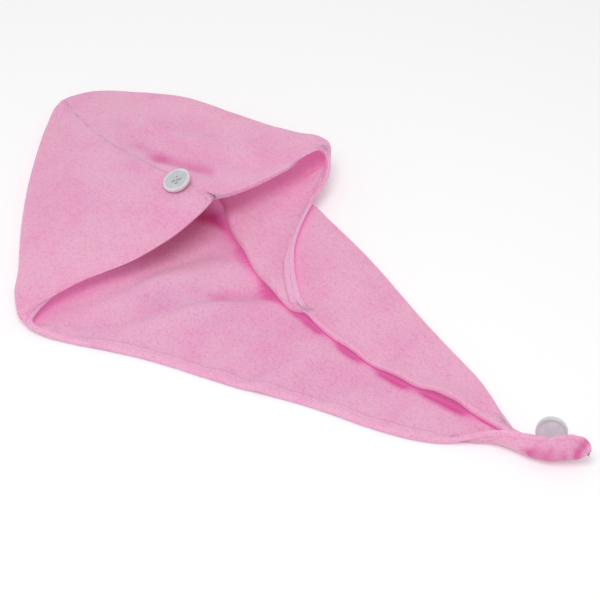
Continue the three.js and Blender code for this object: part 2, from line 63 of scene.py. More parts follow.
# The table and the light: a white table top in a white room, with one large soft lamp high over the
# near side. The camera looks down on the towel at 45 degrees, from beyond the near side of its tail.
bpy.ops.object.select_all(action="DESELECT")
bpy.ops.mesh.primitive_plane_add(size=6, location=(0, 0, -0.0003))
table_top = bpy.context.object
table_top.name = "table_top"
table_white = bpy.data.materials.new("table white")
table_white.use_nodes = True
table_shader = table_white.node_tree.nodes["Principled BSDF"]
table_shader.inputs["Base Color"].default_value = (0.94, 0.94, 0.94, 1)
table_shader.inputs["Roughness"].default_value = 0.9
table_shader.inputs["Emission Color"].default_value = (1, 1, 1, 1)
table_shader.inputs["Emission Strength"].default_value = 0.12
table_top.data.materials.append(table_white)

look_at = Vector((0.03225, 0.02045, 0.0))
camera_data = bpy.data.cameras.new("camera")
camera_data.lens = 95.86
camera_data.sensor_width = 36
camera = bpy.data.objects.new("camera", camera_data)
bpy.context.collection.objects.link(camera)
camera.location = (0.68898, -0.67234, 0.95459)
camera.rotation_euler = (look_at - camera.location).to_track_quat("-Z", "Y").to_euler()
bpy.context.scene.camera = camera

room = bpy.data.worlds.new("white room")
bpy.context.scene.world = room
room.use_nodes = True
room.node_tree.nodes["Background"].inputs["Color"].default_value = (1, 1, 1, 1)
room.node_tree.nodes["Background"].inputs["Strength"].default_value = 0.6
bpy.context.scene.view_settings.view_transform = "Standard"

lamp_data = bpy.data.lights.new("soft lamp", "AREA")
lamp_data.shape = "DISK"
lamp_data.size = 1.0
lamp_data.energy = 10
lamp = bpy.data.objects.new("soft lamp", lamp_data)
bpy.context.collection.objects.link(lamp)
lamp.location = (0.25, -0.45, 1.5)
lamp.rotation_euler = (look_at - lamp.location).to_track_quat("-Z", "Y").to_euler()


def plush_group():
    """Colour and height of short plush: laid patches, clumped tips, a hem band and its stitched groove,
    painted shade and a painted glow.
    """
    group = bpy.data.node_groups.new("plush pile", "ShaderNodeTree")
    socket = group.interface.new_socket
    socket(name="Place", in_out="INPUT", socket_type="NodeSocketVector")
    for name in ("Shelter", "Enclosed", "Hem Distance", "Hem Shows", "Clump Scale"):
        socket(name=name, in_out="INPUT", socket_type="NodeSocketFloat")
    for name in ("Lit Pile", "Laid Pile", "Clump And Painted Shade Pile", "Hem Pile", "No Glow", "Painted Pocket Glow"):
        socket(name=name, in_out="INPUT", socket_type="NodeSocketColor")
    socket(name="Color", in_out="OUTPUT", socket_type="NodeSocketColor")
    socket(name="Glow", in_out="OUTPUT", socket_type="NodeSocketColor")
    socket(name="Height", in_out="OUTPUT", socket_type="NodeSocketFloat")
    socket(name="Roughness", in_out="OUTPUT", socket_type="NodeSocketFloat")
    make, link = group.nodes.new, group.links.new
    given, out = make("NodeGroupInput"), make("NodeGroupOutput")

    def noise_at(place, scale, detail, rough):
        node = make("ShaderNodeTexNoise")
        node.inputs["Scale"].default_value = scale
        node.inputs["Detail"].default_value = detail
        node.inputs["Roughness"].default_value = rough
        link(place, node.inputs["Vector"])
        return node

    def ranged(source, low, high, to_low=0.0, to_high=1.0):
        node = make("ShaderNodeMapRange")
        node.interpolation_type = "SMOOTHSTEP"
        for name, value in zip(("From Min", "From Max", "To Min", "To Max"), (low, high, to_low, to_high)):
            node.inputs[name].default_value = value
        link(source, node.inputs["Value"])
        return node.outputs["Result"]

    def mix(share, first, second):
        node = make("ShaderNodeMix")
        node.data_type = "RGBA"
        link(share, node.inputs["Factor"])
        link(first, node.inputs[6])
        link(second, node.inputs[7])
        return node.outputs[2]

    def math_of(operation, first, second):
        node = make("ShaderNodeMath")
        node.operation = operation
        for value, entry in zip((first, second), node.inputs):
            if isinstance(value, (int, float)):
                entry.default_value = value
            else:
                link(value, entry)
        return node.outputs[0]

    # The pile: broad patches, brushed streaks, clumps and the tips of the hairs.
    brushed = make("ShaderNodeMapping")
    brushed.inputs["Rotation"].default_value = (0, 0, 0.5)
    brushed.inputs["Scale"].default_value = (1, 3.2, 1)
    link(given.outputs["Place"], brushed.inputs["Vector"])
    patches = noise_at(given.outputs["Place"], 24, 3, 0.55).outputs["Fac"]
    streaks = noise_at(brushed.outputs["Vector"], 130, 3, 0.6).outputs["Fac"]
    clump_noise = noise_at(given.outputs["Place"], 1, 2, 0.6)
    link(given.outputs["Clump Scale"], clump_noise.inputs["Scale"])
    clumps = clump_noise.outputs["Fac"]
    tips = noise_at(given.outputs["Place"], 2400, 1, 0.5).outputs["Fac"]

    # The hem: a raised band with a groove at its stitches, which lie a hem's width from the edge.
    band = ranged(given.outputs["Hem Distance"], 0.92, 0.7)
    groove_in = ranged(given.outputs["Hem Distance"], 0.8, 1.0)
    groove_out = ranged(given.outputs["Hem Distance"], 1.3, 1.0)
    groove = math_of("MULTIPLY", groove_in, groove_out)
    shows = given.outputs["Hem Shows"]
    band = math_of("MULTIPLY", band, shows)
    groove = math_of("MULTIPLY", groove, math_of("ADD", math_of("MULTIPLY", shows, 0.75), 0.25))

    # The colours, from the top of the pile down to the deep pink painted as shade in its dents, pits,
    # seam, groove and pockets.
    lay = math_of("ADD", ranged(patches, 0.36, 0.68, 0, 0.8), ranged(streaks, 0.5, 0.72, 0, 0.5))
    laid = mix(lay, given.outputs["Lit Pile"], given.outputs["Laid Pile"])
    hemmed = mix(math_of("MULTIPLY", band, 0.55), laid, given.outputs["Hem Pile"])
    # Darker between clumps at random, and painted shade in the stitched groove.
    clump_and_groove_darkening = math_of("MAXIMUM", ranged(clumps, 0.56, 0.30, 0.0, 0.24), math_of("MULTIPLY", groove, 0.3))
    between = mix(clump_and_groove_darkening, hemmed, given.outputs["Clump And Painted Shade Pile"])
    shade_paint = mix(ranged(given.outputs["Shelter"], 0.15, 0.95), between, given.outputs["Clump And Painted Shade Pile"])
    # The height of the pile and hem, and the painted glow inside the pockets, an emission where the cloth
    # is enclosed.
    pile = math_of("ADD", math_of("MULTIPLY", tips, 0.3), math_of("MULTIPLY", streaks, 0.7))
    pile = math_of("ADD", pile, clumps)
    hem = math_of("SUBTRACT", math_of("MULTIPLY", band, 1.6), math_of("MULTIPLY", groove, 2.2))
    enclosed = ranged(given.outputs["Enclosed"], 0.14, 0.6)
    link(mix(enclosed, given.outputs["No Glow"], given.outputs["Painted Pocket Glow"]), out.inputs["Glow"])
    link(shade_paint, out.inputs["Color"])
    link(math_of("ADD", pile, hem), out.inputs["Height"])
    link(ranged(clumps, 0.3, 0.7, 0.98, 0.86), out.inputs["Roughness"])
    return group


def plush_material(name, lit, laid, shade_paint, hem, painted_glow):
    """Thin short plush, which light comes through, with a soft pink sheen, painted shade and a painted
    glow.
    """
    material = bpy.data.materials.new(name)
    material.use_nodes = True
    make, link = material.node_tree.nodes.new, material.node_tree.links.new
    shader = material.node_tree.nodes["Principled BSDF"]
    pile = make("ShaderNodeGroup")
    pile.node_tree = plush_pile
    place = make("ShaderNodeTexCoord")
    link(place.outputs["Object"], pile.inputs["Place"])
    for attribute in ("shelter", "enclosed", "hem_distance", "hem_shows"):
        mark = make("ShaderNodeAttribute")
        mark.attribute_name = attribute
        link(mark.outputs["Fac"], pile.inputs[attribute.replace("_", " ").title()])
    for entry, colour in (("Lit Pile", lit), ("Laid Pile", laid), ("Clump And Painted Shade Pile", shade_paint), ("Hem Pile", hem)):
        pile.inputs[entry].default_value = colour
    pile.inputs["No Glow"].default_value = (0, 0, 0, 1)
    pile.inputs["Painted Pocket Glow"].default_value = painted_glow
    pile.inputs["Clump Scale"].default_value = 520
    bump = make("ShaderNodeBump")
    bump.inputs["Strength"].default_value = 0.4
    bump.inputs["Distance"].default_value = 0.0006
    link(pile.outputs["Height"], bump.inputs["Height"])
    link(pile.outputs["Color"], shader.inputs["Base Color"])
    link(pile.outputs["Roughness"], shader.inputs["Roughness"])
    # Painted glow: the pockets give off a faint light of their own, in place of light through the thin
    # cloth.
    link(pile.outputs["Glow"], shader.inputs["Emission Color"])
    shader.inputs["Emission Strength"].default_value = 1.0
    material.cycles.emission_sampling = "NONE"  # the painted glow is too faint a light to be worth the time
    link(bump.outputs["Normal"], shader.inputs["Normal"])
    shader.inputs["Subsurface Weight"].default_value = 0.6
    shader.inputs["Subsurface Radius"].default_value = (1.0, 0.3, 0.55)
    shader.inputs["Subsurface Scale"].default_value = 0.006
    shader.inputs["Sheen Weight"].default_value = 0.2
    shader.inputs["Sheen Roughness"].default_value = 0.45
    shader.inputs["Sheen Tint"].default_value = (1.0, 0.62, 0.8, 1)
    shader.inputs["Specular IOR Level"].default_value = 0.15
    return material


def wall_tree(pieces):
    """The faces of these pieces as one tree, to find the nearest place on them or what a ray meets."""
    points, faces = [], []
    for piece in pieces:
        first = len(points)
        points += [v.co.copy() for v in piece.data.vertices]
        faces += [[first + i for i in p.vertices] for p in piece.data.polygons]
    return BVHTree.FromPolygons(points, faces)


def select_only(piece):
    bpy.ops.object.select_all(action="DESELECT")
    piece.select_set(True)
    bpy.context.view_layer.objects.active = piece


def cloth_copy(node, name):
    """The cloth of a CAD node as a mesh of its own: its doubles merged, in quads."""
    cloth = node.copy()
    cloth.data = node.data.copy()
    cloth.name = cloth.data.name = name
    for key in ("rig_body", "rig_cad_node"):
        if key in cloth:
            del cloth[key]
    cloth.parent = None
    cloth.data.materials.clear()
    bpy.context.collection.objects.link(cloth)
    select_only(cloth)
    bpy.ops.object.mode_set(mode="EDIT")
    bpy.ops.mesh.select_all(action="SELECT")
    bpy.ops.mesh.remove_doubles(threshold=0.00001)
    bpy.ops.mesh.tris_convert_to_quads(face_threshold=math.radians(60), shape_threshold=math.radians(60))
    bpy.ops.object.mode_set(mode="OBJECT")
    return cloth


# The hems, seen from above, in millimetres: how plainly the turned band shows, how wide it is, and the
# way it goes. The band shows where the inner side of the cloth is up, and hardly outside the hood.
NEAR_HEMS = [
    (0.05, 5.0, [(-73, 25), (-74, -15), (-85, -61), (-101, -97), (-109, -127), (-109, -157)]),
    (0.5, 4.4, [(-109, -157), (-79, -147), (-18, -118), (37, -96)]),
    (0.5, 4.4, [(37, -96), (70, -85), (110, -65), (159, -49), (197, -35)]),
    (0.4, 5.0, [(197, -35), (227, -15), (250, 10), (281, 25), (315, 48)]),
]
HEM_NEAR_WAY = 8  # an edge this close to a hem's way and along it is the hem's
HEM_ALONG = 0.8  # the least cosine between such an edge and the hem's way
HEM_STEP = 0.001  # from one marked point of a hem to the next
HEM_CREASE = 0.5
SHARP_EDGE = math.radians(38)  # an edge of the cloth bends by at least this much
SHORT_EDGE = 0.5  # in millimetres; a shorter one goes across the cloth's thickness
CORNER = math.radians(140)  # two edges of a rim that meet at less than this make a corner
SEAM_NEAR = 0.0006  # points of one half that are so near the other half are sewn to it
SEAM_CREASE = 0.75
SEAM_CLOSES = 0.6  # of the gap between the halves, by each of them


def hem_shows(middle, along, hems):
    """How plainly the hem with this stretch of edge shows, and its width; None where it is no hem."""
    best = None
    for shows, width, way in hems:
        for start, end in zip(way, way[1:]):
            run = Vector(end) - Vector(start)
            away = middle - Vector(start)
            share = min(max(away.dot(run) / run.length_squared, 0), 1)
            near = (away - run * share).length
            least = best[0] if best else HEM_NEAR_WAY
            if near < least and abs(along.dot(run.normalized())) > HEM_ALONG:
                best = (near, (shows, width / 1000))
    return best and best[1]


def find_rims(cloth, other_half, hems):
    """Points along the hems, each with how it shows. Closes the seam and creases the rims and corners."""
    mesh = bmesh.new()
    mesh.from_mesh(cloth.data)
    crease = mesh.edges.layers.float.new("crease_edge")
    corner = mesh.verts.layers.float.new("crease_vert")
    points, rims = [], {}
    for edge in mesh.edges:
        if len(edge.link_faces) != 2 or edge.calc_face_angle() < SHARP_EDGE:
            continue
        start, end = (v.co for v in edge.verts)
        run = (end - start).xy * 1000
        seam = max(other_half.find_nearest(place)[3] for place in (start, end)) < SEAM_NEAR
        shows = None
        if not seam and run.length >= SHORT_EDGE:
            shows = hem_shows((start + end).xy * 500, run.normalized(), hems)
        if seam or shows is not None:
            edge[crease] = SEAM_CREASE if seam else HEM_CREASE
            for vertex in edge.verts:
                rims.setdefault(vertex, []).append((edge.other_vert(vertex).co - vertex.co).normalized())
        if shows is not None:
            steps = max(1, round(edge.calc_length() / HEM_STEP))
            points += [(start.lerp(end, step / steps), shows) for step in range(steps + 1)]
    for vertex, ways in rims.items():
        if len(ways) == 2 and ways[0].angle(ways[1]) < CORNER:
            vertex[corner] = 1.0
    for vertex in mesh.verts:
        there, _, _, away = other_half.find_nearest(vertex.co)
        if away < SEAM_NEAR:
            vertex.co = vertex.co.lerp(there, SEAM_CLOSES)
    mesh.to_mesh(cloth.data)
    mesh.free()
    return points


def smooth(cloth):
    """Rounds the cloth by one level of subdivision."""
    finer = cloth.modifiers.new("finer", "SUBSURF")
    finer.levels = finer.render_levels = 1
    select_only(cloth)
    bpy.ops.object.modifier_apply(modifier=finer.name)


def split_long_rings(cloth, longest, tip_from, tip_longest):
    """Halves each ring of faces whose sides are longer than this, and finer ones past the tail's end."""
    mesh = bmesh.new()
    mesh.from_mesh(cloth.data)
    seen, long_edges = set(), []
    for first in mesh.edges:
        if first in seen:
            continue
        seen.add(first)
        ring, ahead = [first], [first]
        while ahead:
            edge = ahead.pop()
            for loop in edge.link_loops:
                across = loop.link_loop_next.link_loop_next.edge
                if len(loop.face.verts) == 4 and across not in seen:
                    seen.add(across)
                    ring.append(across)
                    ahead.append(across)
        length = sum(edge.calc_length() for edge in ring) / len(ring)
        middle = sum(edge.verts[0].co.x for edge in ring) / len(ring)
        if length > (tip_longest if middle > tip_from else longest):
            long_edges += ring
    bmesh.ops.subdivide_edges(mesh, edges=long_edges, cuts=1, use_grid_fill=True)
    mesh.to_mesh(cloth.data)
    mesh.free()


# Soft folds of the lying cloth: from one end to the other in millimetres, how far apart their flanks
# are, how high they stand (under 0 they are dents), and the height of the layer that they are in.
HOOD_FOLDS = [
    ((-246, 56), (-219, 57), 13, -2.6, 32),
    ((-287, 25), (-252, 14), 13, -2.0, 18),
    ((-221, 40), (-200, 66), 9, 2.2, 36),
    ((-200, 66), (-154, 73), 11, 3.0, 36),
    ((-154, 73), (-100, 88), 12, 2.6, 38),
    ((-199, 43), (-162, 39), 8, -4.2, 40),
    ((-150, 36), (-119, 46), 10, -3.8, 44),
    ((-122, 58), (-66, 98), 13, -2.4, 44),
    ((-182, -10), (-141, 18), 7, -1.4, 36),
    ((-172, -20), (-134, 8), 6, 1.2, 34),
    ((-174, -38), (-135, -10), 8, -1.3, 28),
    ((-227, 91), (-177, 107), 14, -1.6, 32),
    ((276, 6), (286, 28), 2.0, -1.2, 14),
    ((283, 6), (292, 30), 2.4, 1.1, 14),
    ((289, 11), (297, 33), 2.0, -1.3, 13),
    ((295, 13), (301, 36), 2.4, 1.1, 13),
    ((301, 17), (304, 40), 2.0, -1.3, 13),
    ((309, 34), (310, 44), 3.5, -2.0, 14),
    ((300, 38), (312, 48), 7, 4.5, 16),
]
NEAR_FOLDS = HOOD_FOLDS + [
    ((-92, -136), (-59, -51), 15, 3.0, 3),
    ((-59, -51), (-29, 10), 16, 4.5, 3),
    ((-65, -127), (-45, -73), 9, -2.2, 3),
    ((-45, -73), (-14, -28), 10, -2.8, 3),
    ((-14, -28), (14, 3), 8, -3.0, 3),
    ((-46, -123), (-7, -47), 14, 3.0, 3),
    ((-7, -47), (36, 0), 13, 4.6, 3),
    ((36, -28), (31, -76), 7, -2.0, 3),
    ((50, -18), (46, -74), 9, 3.6, 3),
    ((79, -22), (70, -70), 7, -2.2, 3),
    ((90, -16), (80, -74), 9, 3.8, 3),
    ((133, -20), (129, -44), 8, -1.8, 3),
    ((145, -16), (139, -46), 9, 3.0, 3),
    ((-88, -108), (-62, 6), 7, -2.0, 3),
    ((235, 16), (258, 20), 3, 2.2, 3),
]
# Painted shade: places where the cloth's colour is darkened to the deep pink of shade, in pits under the
# layers
# above, in grooves and on the tip: the same, with how much painted shade instead of how high.
HOOD_PAINTED_PITS = [
    ((-147, 38), (-119, 48), 13, 0.26, 44),
    ((-199, 43), (-160, 41), 9, 0.12, 40),
    ((-246, 56), (-219, 57), 11, 0.14, 32),
    ((-287, 25), (-252, 17), 8, 0.12, 18),
    ((-104, 50), (-98, 47), 7, 0.22, 46),
    ((280, 14), (310, 42), 16, 0.16, 12),
    ((273, 8), (300, 28), 4, 0.40, 6),
    ((276, 6), (287, 28), 2.2, 0.10, 14),
    ((289, 12), (297, 33), 2.2, 0.12, 13),
    ((301, 18), (304, 40), 2.2, 0.12, 13),
    ((309, 34), (310, 46), 3.5, 0.50, 14),
]
NEAR_PAINTED_PITS = HOOD_PAINTED_PITS + [
    ((-65, -127), (-45, -73), 13, 0.06, 3),
    ((-45, -73), (-14, -28), 13, 0.08, 3),
    ((-14, -28), (14, 3), 10, 0.08, 3),
    ((-88, -108), (-62, 6), 10, 0.05, 3),
    ((36, -28), (31, -76), 9, 0.12, 3),
    ((79, -22), (70, -70), 9, 0.12, 3),
    ((133, -20), (129, -44), 9, 0.12, 3),
    ((-98, 36), (-82, 46), 10, 0.60, 6),
    ((-77, 43), (-62, 39), 8, 0.45, 4),
    ((-42, 27), (-27, 20), 7, 0.45, 4),
    ((6, 9), (18, 6), 6, 0.50, 4),
    ((30, 5), (45, 2), 5, 0.55, 4),
    ((59, 2), (71, 0), 5, 0.50, 4),
    ((99, 0), (113, 0), 5, 0.50, 4),
    ((143, 2), (161, 3), 6, 0.55, 4),
    ((183, 9), (210, 14), 6, 0.60, 4),
    ((235, 20), (262, 23), 4, 0.45, 5),
]
LAYER_REACH = 14  # a fold moves only the layer of cloth that it lies in
DENT_SHADE = 0.055  # how much painted shade a dent of a millimetre gets
DENT_SHADE_MOST = 0.3
UNEVEN = ((0.8, 28), (0.35, 75))  # slight waves of the cloth, in millimetres, and how many to a metre
SEAM_PUCKER = 0.6  # the stitches draw the cloth in along the back seam, in millimetres
PUCKER_PITCH = 6.5
SEAM_DRAW = 1.3
SEAM_WIDTH = 3.5
# Painted shade along the back seam: how much, how wide, where it fades and how much is left past there.
SEAM_SHADE = 0.45
SEAM_SHADE_WIDTH = 1.6
SEAM_SHADE_ENDS = (-225, -170)  # where the seam's painted shade fades towards the button
SEAM_SHADE_LEFT = 0.35  # of it, past there
TIP_ROUNDS = (302, 316)  # where the rolled tip draws in to its blunt end, and where it ends
TIP_MIDDLE = (39, 12)  # across the towel and above the table
TIP_CRUMPLE = 1.1  # in millimetres, with so many crumples to a metre, past this place
TIP_CRUMPLES = 190
CRUMPLED_FROM = 0.268
TABLE_CLEAR = 0.0001  # the cloth stays this far above the table


def seam_line(cloth, other_half):
    """The points where a half lies against the other half."""
    return [v.co.copy() for v in cloth.data.vertices if other_half.find_nearest(v.co)[3] < SEAM_NEAR]


def tree_of(points):
    """A tree of points, to find the nearest of them."""
    tree = KDTree(len(points))
    for index, point in enumerate(points):
        tree.insert(point, index)
    tree.balance()
    return tree


def fold_lift(places, folds):
    """How far the folds lift each of these places, in millimetres."""
    lift = np.zeros(len(places))
    for start, end, flank, height, layer in folds:
        run = np.subtract(end, start)
        length = np.hypot(*run)
        away = places[:, :2] - start
        along = away @ run / length
        aside = (away[:, 0] * run[1] - away[:, 1] * run[0]) / length
        beyond = np.maximum(np.maximum(-along, along - length), 0)
        share = np.clip(2 * (LAYER_REACH - np.abs(places[:, 2] - layer)) / LAYER_REACH, 0, 1)
        lift += height * share * np.exp(-((aside / flank) ** 2) - (beyond / (1.4 * flank)) ** 2)
    return lift


def lay_folds(cloth, folds, painted_pits, seam):
    """Moves the cloth by its folds, its drawn-in seam, its crumpled tip and a slight unevenness, and
    keeps it off the table. Gives back how much painted shade each point gets, in its dents, pits and seam."""
    places = np.empty(len(cloth.data.vertices) * 3)
    cloth.data.vertices.foreach_get("co", places)
    places = places.reshape(-1, 3)
    lift = fold_lift(places * 1000, folds)
    # Painted shade: darker in the dents and at the listed pits.
    shade_paint = np.clip(-DENT_SHADE * lift, 0, DENT_SHADE_MOST) + fold_lift(places * 1000, painted_pits)
    for index, place in enumerate(places):
        point = Vector(place)
        lift[index] += sum(height * noise.noise(point * waves) for height, waves in UNEVEN)
        apart = seam.find(point)[2] * 1000
        if apart < 3 * SEAM_WIDTH:
            pucker = SEAM_PUCKER * math.sin(math.tau * place[0] * 1000 / PUCKER_PITCH)
            lift[index] += (pucker - SEAM_DRAW) * math.exp(-((apart / SEAM_WIDTH) ** 2))
            # Painted shade along the seam, fading towards the button.
            faded = np.interp(place[0] * 1000, SEAM_SHADE_ENDS, (1, SEAM_SHADE_LEFT))
            shade_paint[index] += SEAM_SHADE * faded * math.exp(-((apart / SEAM_SHADE_WIDTH) ** 2))
        if place[0] > CRUMPLED_FROM:
            lift[index] += TIP_CRUMPLE * noise.noise(point * TIP_CRUMPLES)
    start, end = TIP_ROUNDS
    drawn = np.clip((places[:, 0] * 1000 - start) / (end - start), 0, 0.97) ** 2
    for axis, middle in zip((1, 2), TIP_MIDDLE):
        places[:, axis] += (middle / 1000 - places[:, axis]) * (1 - np.sqrt(1 - drawn))
    places[:, 2] = np.maximum(places[:, 2] + lift / 1000, TABLE_CLEAR)
    cloth.data.vertices.foreach_set("co", places.ravel())
    cloth.data.update()
    return shade_paint


HEM_REACH = 0.012  # how far in from its edge the hem is marked
HEM_EDGE = 0.0011  # points so near the edge's own points are where the marking starts
HEM_PUFF = 0.0005  # the turned hem stands this much proud on each side
HEM_USUAL = 0.005  # the width that unmarked cloth reckons with


def mark_hem(cloth, points):
    """Marks how far in from the hem's edge each point is, along the cloth, in widths of the hem, and how
    plainly that hem shows. Puffs the hem up."""
    hem = tree_of([point for point, shows in points])
    count = len(cloth.data.vertices)
    distance, shows, widths = [HEM_REACH] * count, [0.0] * count, [HEM_USUAL] * count
    beside = [[] for _ in range(count)]
    for edge in cloth.data.edges:
        a, b = edge.vertices
        length = (cloth.data.vertices[a].co - cloth.data.vertices[b].co).length
        beside[a].append((b, length))
        beside[b].append((a, length))
    front = []
    for vertex in cloth.data.vertices:
        _, index, away = hem.find(vertex.co)
        if away < HEM_EDGE:
            heapq.heappush(front, (away, vertex.index, points[index][1]))
    while front:
        reached, index, here = heapq.heappop(front)
        if reached >= distance[index]:
            continue
        distance[index], (shows[index], widths[index]) = reached, here
        for other, length in beside[index]:
            heapq.heappush(front, (reached + length, other, here))
    across = np.array(distance) / np.array(widths)
    for name, values in (("hem_distance", across), ("hem_shows", shows)):
        cloth.data.attributes.new(name, "FLOAT", "POINT").data.foreach_set("value", values)
    places, normals = np.empty(count * 3), np.empty(count * 3)
    cloth.data.vertices.foreach_get("co", places)
    cloth.data.vertices.foreach_get("normal", normals)
    share = 1 - np.minimum(across, 1) ** 2
    cloth.data.vertices.foreach_set("co", places + normals * HEM_PUFF * np.repeat(share, 3))
    cloth.data.update()


# The rays that measure how enclosed the cloth is, for its painted shade and its painted glow.
SHELTER_REACH = 0.06  # cloth farther off than this shelters nothing
SHELTER_CLEAR = 0.0012  # the rays start this far off the cloth
SHELTER_RAYS = 28


def eased(cloth, values):
    """Each value drawn half way to the mean of those beside it."""
    ends = np.empty(len(cloth.data.edges) * 2, dtype=np.int32)
    cloth.data.edges.foreach_get("vertices", ends)
    first, second = ends[0::2], ends[1::2]
    values = np.array(values)
    total, beside = np.zeros(len(values)), np.zeros(len(values))
    for here, there in ((first, second), (second, first)):
        np.add.at(total, here, values[there])
        np.add.at(beside, here, 1)
    return 0.5 * values + 0.5 * total / np.maximum(beside, 1)


def mark_enclosure_and_painted_shade(cloth, around, shade_paint):
    """Marks how enclosed each point of the cloth is, from 0 in the open to 1 in a pocket, and how much
    painted
    shade it gets: the enclosure as painted shade of the pockets, with the painted shade of its dents, pits
    and seam."""
    rays = []
    for k in range(SHELTER_RAYS):
        height = 1 - (k + 0.5) / SHELTER_RAYS
        turn = k * math.pi * (3 - math.sqrt(5))
        flat = math.sqrt(1 - height * height)
        rays.append(Vector((flat * math.cos(turn), flat * math.sin(turn), height)))
    values = []
    for vertex in cloth.data.vertices:
        turn = Vector((0, 0, 1)).rotation_difference(vertex.normal)
        start = vertex.co + vertex.normal * SHELTER_CLEAR
        blocked = 0.0
        for ray in rays:
            away = around.ray_cast(start, turn @ ray, SHELTER_REACH)[3]
            if away is not None:
                blocked += ray.z * (1 - away / SHELTER_REACH)
        values.append(blocked / sum(ray.z for ray in rays))
    for _ in range(3):
        values = eased(cloth, values)
    for name, marked in (("enclosed", values), ("shelter", np.minimum(values + shade_paint, 1))):
        cloth.data.attributes.new(name, "FLOAT", "POINT").data.foreach_set("value", marked)


plush_pile = plush_group()
pink_plush = plush_material(
    "pink plush",
    lit=(0.87, 0.465, 0.635, 1),
    laid=(0.85, 0.385, 0.585, 1),
    # the deep pink of painted shade, for pockets, dents, pits, the seam and the groove, and the darker
    # tone between clumps
    shade_paint=(0.66, 0.065, 0.31, 1),
    hem=(0.90, 0.54, 0.72, 1),
    painted_glow=(0.17, 0.09, 0.16, 1),  # painted glow: an emission standing in for the light that comes into the pockets through the thin cloth
)

near_wall = wall_tree([nodes["near_panel"]])
far_wall = wall_tree([nodes["far_panel"]])


def dress(cloth, other_half, hems, folds, painted_pits):
    """Makes lying plush of the cloth of one half, and gives back how much painted shade each point gets.
    """
    hem = find_rims(cloth, other_half, hems)
    seam = tree_of(seam_line(cloth, other_half))
    smooth(cloth)
    split_long_rings(cloth, longest=0.008, tip_from=0.262, tip_longest=0.003)
    smooth(cloth)
    mark_hem(cloth, hem)
    shade_paint = lay_folds(cloth, folds, painted_pits, seam)
    bpy.ops.object.shade_smooth()
    cloth.data.materials.append(pink_plush)
    return shade_paint


near_cloth = cloth_copy(nodes["near_panel"], "near_cloth")
near_shade_paint = dress(near_cloth, far_wall, NEAR_HEMS, NEAR_FOLDS, NEAR_PAINTED_PITS)
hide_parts("near_panel")
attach(near_cloth, "root")

# The far half: the same plush and cut. It lies on the near half along the tail, is folded back at
# the lapel and stands open at the mouth of the hood.
FAR_HEMS = [
    (0.05, 5.0, [(-73, 25), (-63, 63), (-59, 110), (-59, 145)]),
    (0.4, 6.0, [(-54, 150), (-41, 133), (-36, 110)]),
    (1.0, 7.0, [(-36, 110), (-34, 100), (-23, 75), (-8, 50), (10, 30), (30, 15), (42, 9)]),
    (0.35, 4.4, [(50, 5), (82, 1), (110, 1), (157, 5), (197, 13), (230, 19), (250, 23)]),
]
FAR_FOLDS = HOOD_FOLDS + [
    ((-72, 44), (-68, 41), 6, 2.6, 9),
    ((-38, 26), (-32, 22), 6, 3.0, 9),
    ((8, 9), (16, 7), 6, 3.2, 9),
    ((103, 2), (109, 2), 7, 3.5, 9),
    ((149, 6), (156, 7), 8, 4.0, 9),
    ((190, 14), (204, 17), 9, 6.5, 9),
    ((-40, 52), (-31, 71), 5, -1.4, 15),
    ((-75, 80), (-50, 112), 12, 2.4, 16),
    ((59, 29), (120, 40), 16, -2.4, 10),
    ((98, 29), (149, 39), 14, 2.0, 10),
    ((32, 64), (95, 50), 14, 1.8, 10),
]

far_cloth = cloth_copy(nodes["far_panel"], "far_cloth")
far_shade_paint = dress(far_cloth, near_wall, FAR_HEMS, FAR_FOLDS, HOOD_PAINTED_PITS)
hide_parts("far_panel")
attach(far_cloth, "root")

both_halves = wall_tree([near_cloth, far_cloth])
mark_enclosure_and_painted_shade(near_cloth, both_halves, near_shade_paint)
mark_enclosure_and_painted_shade(far_cloth, both_halves, far_shade_paint)

# The nape button: a 25 mm disc of pale resin with a raised rim, dished, sewn through four holes to
# the back of the hood.
BUTTON_ACROSS = 0.025
BUTTON_THICK = 0.0034
RIM_WIDTH = 0.0024
DISH_DEPTH = 0.0009
HOLE_ACROSS = 0.0022
HOLE_PITCH = 0.005
DRILL_DEEP = 0.02
EDGE_ROUND = 0.0007


def button_seat(node):
    """How a CAD button is turned from upright, and the middle of its flat back, its largest face."""
    faces = {}
    for face in nodes[node].data.polygons:
        faces.setdefault(tuple(round(c, 2) for c in face.normal), []).append(face)
    back = max(faces.values(), key=lambda group: sum(face.area for face in group))
    area = sum(face.area for face in back)
    normal = -sum((face.normal * face.area for face in back), Vector()).normalized()
    middle = sum((face.center * face.area for face in back), Vector()) / area
    return Vector((0, 0, 1)).rotation_difference(normal), middle


